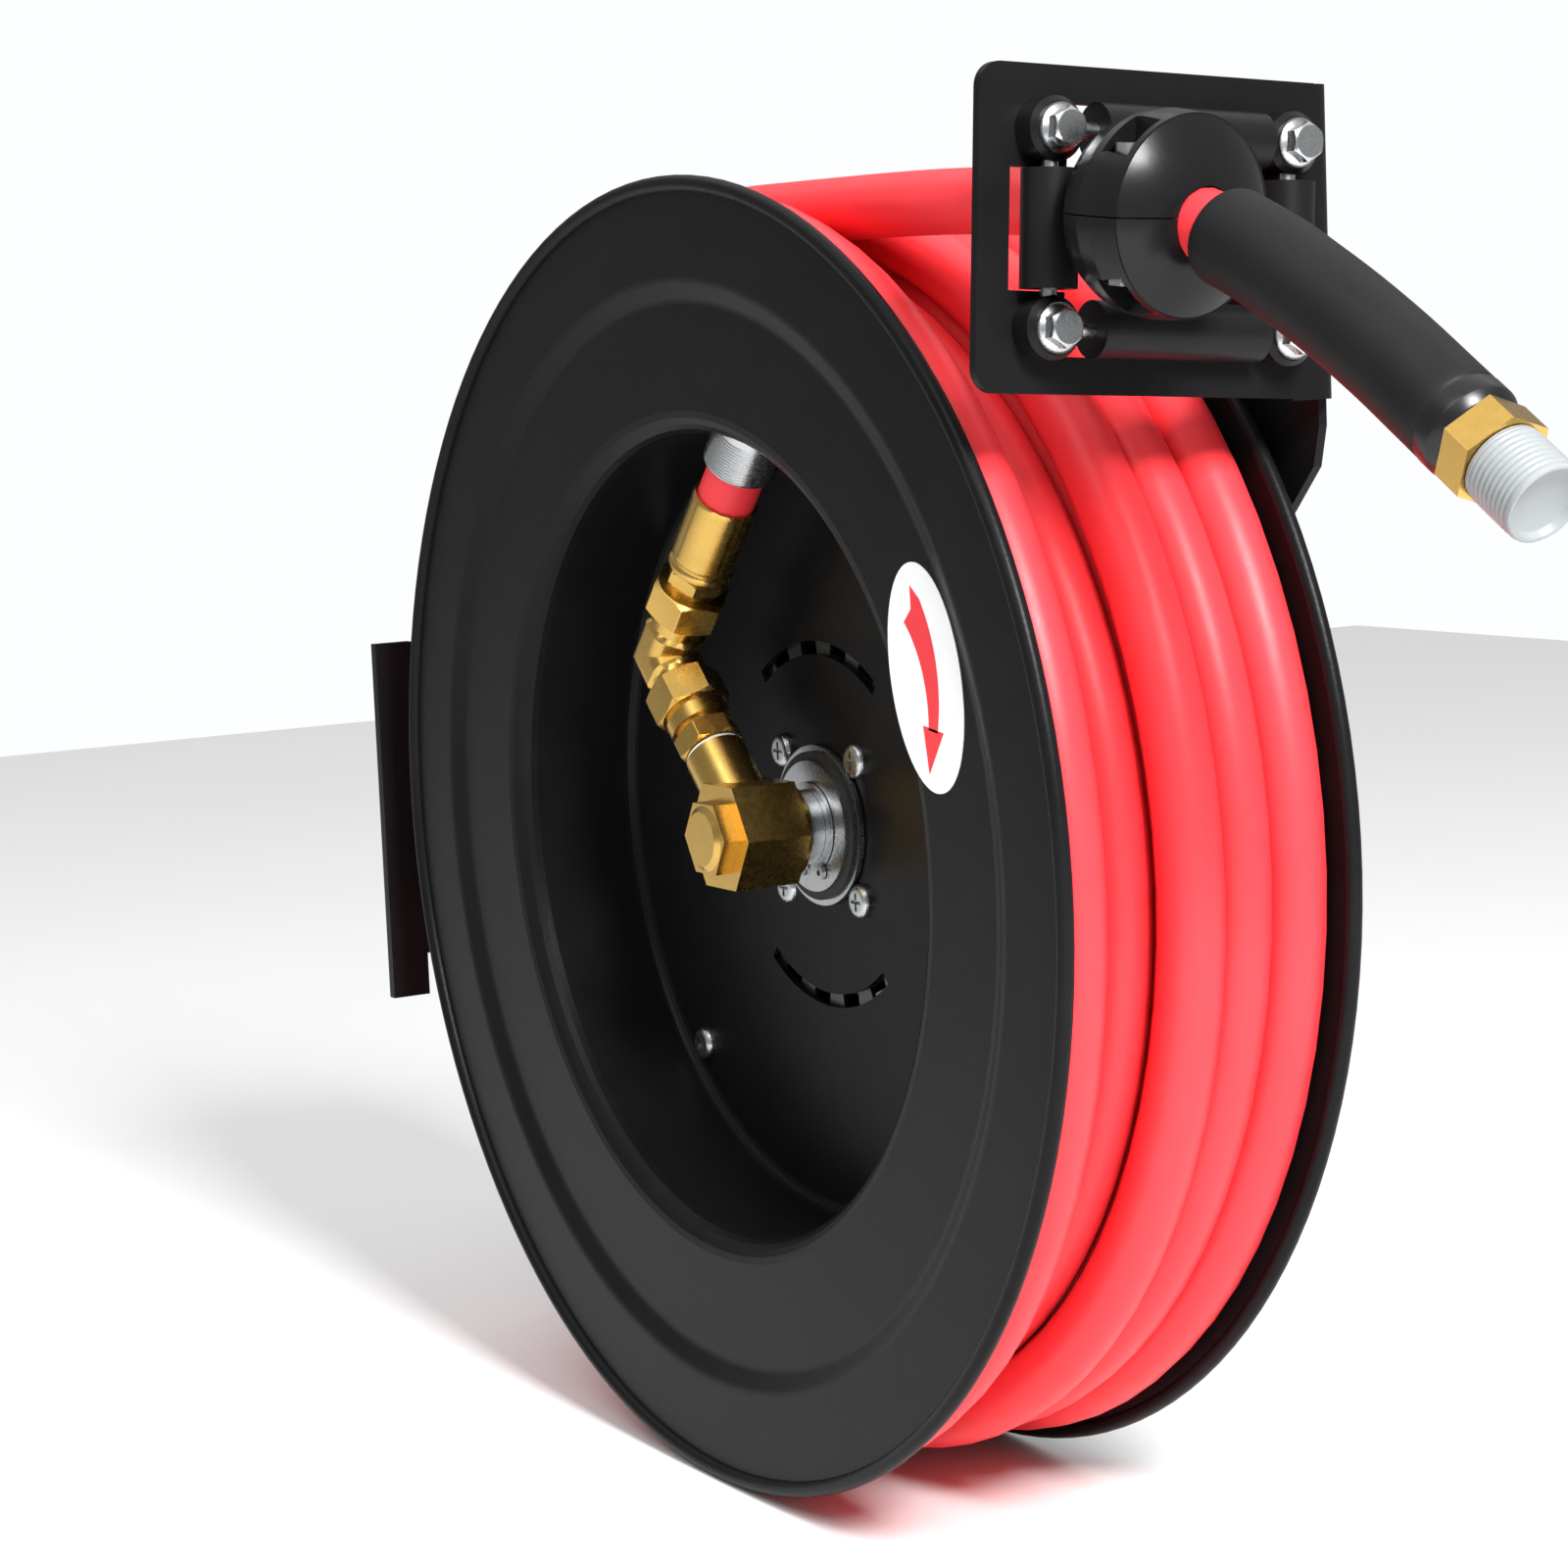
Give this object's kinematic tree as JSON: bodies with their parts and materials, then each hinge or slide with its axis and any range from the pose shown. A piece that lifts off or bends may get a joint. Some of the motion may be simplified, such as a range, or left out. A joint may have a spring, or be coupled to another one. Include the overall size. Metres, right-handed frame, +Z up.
{
  "type": "spring-rewind hose reel",
  "caption": "Wall-mounted spring-rewind hose reel: red rubber hose on a black pressed-steel drum, one pedestal arm, a roller mouth, a ball stop and a brass swivel.",
  "frame": {"origin": "centre of the foot plate bolt pattern, on the face that meets the wall", "axes": "+X away from the wall, +Y along the drum axle towards the pedestal and the inlet, +Z up"},
  "size_m": [0.629, 0.1702, 0.4513],
  "materials": {
    "black_powder_coat": "satin black powder coat on pressed steel sheet",
    "post_black": "black painted steel",
    "zinc_steel": "bright zinc plated steel",
    "turned_steel": "turned and ground steel",
    "galvanised_sheet": "zinc plated sheet steel",
    "spring_steel": "blued spring steel",
    "brass": "bright machined brass",
    "red_rubber": "smooth red rubber hose",
    "sleeve_rubber": "matte black rubber",
    "black_rubber": "black nitrile rubber",
    "roller_nylon": "black moulded nylon",
    "ball_plastic": "glossy black moulded plastic",
    "ring_plastic": "glossy black moulded plastic",
    "bush_nylon": "off-white bearing nylon",
    "cap_plastic": "translucent white polyethylene",
    "label_film": "printed white label with a red arrow"
  },
  "bodies": {
    "frame": {"foot_plate": "black_powder_coat", "pedestal_arm": "black_powder_coat", "guide_arm": "black_powder_coat", "roller_posts": "post_black", "guide_bolts": "zinc_steel", "guide_nuts": "zinc_steel", "roller_bolts": "zinc_steel", "roller_nuts": "zinc_steel", "roller_pins": "zinc_steel", "axle_washer": "zinc_steel", "axle_nut": "zinc_steel", "axle_circlip": "zinc_steel", "pawl_stud": "zinc_steel", "pawl_clip": "zinc_steel", "spring_peg": "zinc_steel", "ball_screws": "zinc_steel", "main_axle": "turned_steel", "inlet_fitting": "brass", "end_fitting": "brass", "hose_leadout": "red_rubber", "bend_sleeve": "sleeve_rubber", "swivel_o_rings": "black_rubber", "ball_half_upper": "ball_plastic", "ball_half_lower": "ball_plastic", "sleeve_ring": "ring_plastic", "thread_cap": "cap_plastic"},
    "drum": {"near_disc": "black_powder_coat", "far_disc": "black_powder_coat", "hub_flange": "turned_steel", "bush_near": "bush_nylon", "bush_far": "bush_nylon", "hub_screws": "zinc_steel", "pan_screws": "zinc_steel", "pan_nuts": "zinc_steel", "hub_washer": "zinc_steel", "hub_ring": "black_rubber", "spring_canister": "galvanised_sheet", "canister_cover": "galvanised_sheet", "cover_screws": "zinc_steel", "mainspring": "spring_steel", "ratchet_wheel": "turned_steel", "swivel_body": "brass", "swivel_plug": "brass", "swivel_nut": "brass", "elbow": "brass", "elbow_nut": "brass", "hose_ferrule": "brass", "wall_grommet": "zinc_steel", "hose_stub": "red_rubber", "rotation_label": "label_film", "hose_winding": "red_rubber"},
    "ratchet_pawl": {"pawl": "turned_steel", "pawl_spring": "spring_steel"},
    "roller_left_body": {"roller_left": "roller_nylon"},
    "roller_right_body": {"roller_right": "roller_nylon"},
    "roller_top_body": {"roller_top": "roller_nylon"},
    "roller_bottom_body": {"roller_bottom": "roller_nylon"}
  },
  "joints": [
    {"name": "drum_spin", "type": "hinge", "parent": "frame", "child": "drum", "pos_m": [0.243, -0.0195, 0.016], "axis": [0, 1, 0], "continuous": true},
    {"name": "pawl_swing", "type": "hinge", "parent": "frame", "child": "ratchet_pawl", "pos_m": [0.17593, 0.016, -0.01527], "axis": [0, 1, 0], "range_deg": [-22, 0], "stiffness_Nm_per_rad": 0.05, "springref_deg": 17.19},
    {"name": "roller_left_spin", "type": "hinge", "parent": "frame", "child": "roller_left_body", "pos_m": [0.4445, -0.06063, 0.20544], "axis": [0, 0.0593, 0.9982], "continuous": true},
    {"name": "roller_right_spin", "type": "hinge", "parent": "frame", "child": "roller_right_body", "pos_m": [0.4445, 0.02163, 0.20056], "axis": [0, 0.0593, 0.9982], "continuous": true},
    {"name": "roller_top_spin", "type": "hinge", "parent": "frame", "child": "roller_top_body", "pos_m": [0.4445, -0.01788, 0.23025], "axis": [0, 0.9982, -0.0593], "continuous": true},
    {"name": "roller_bottom_spin", "type": "hinge", "parent": "frame", "child": "roller_bottom_body", "pos_m": [0.4445, -0.02112, 0.17575], "axis": [0, 0.9982, -0.0593], "continuous": true}
  ]
}
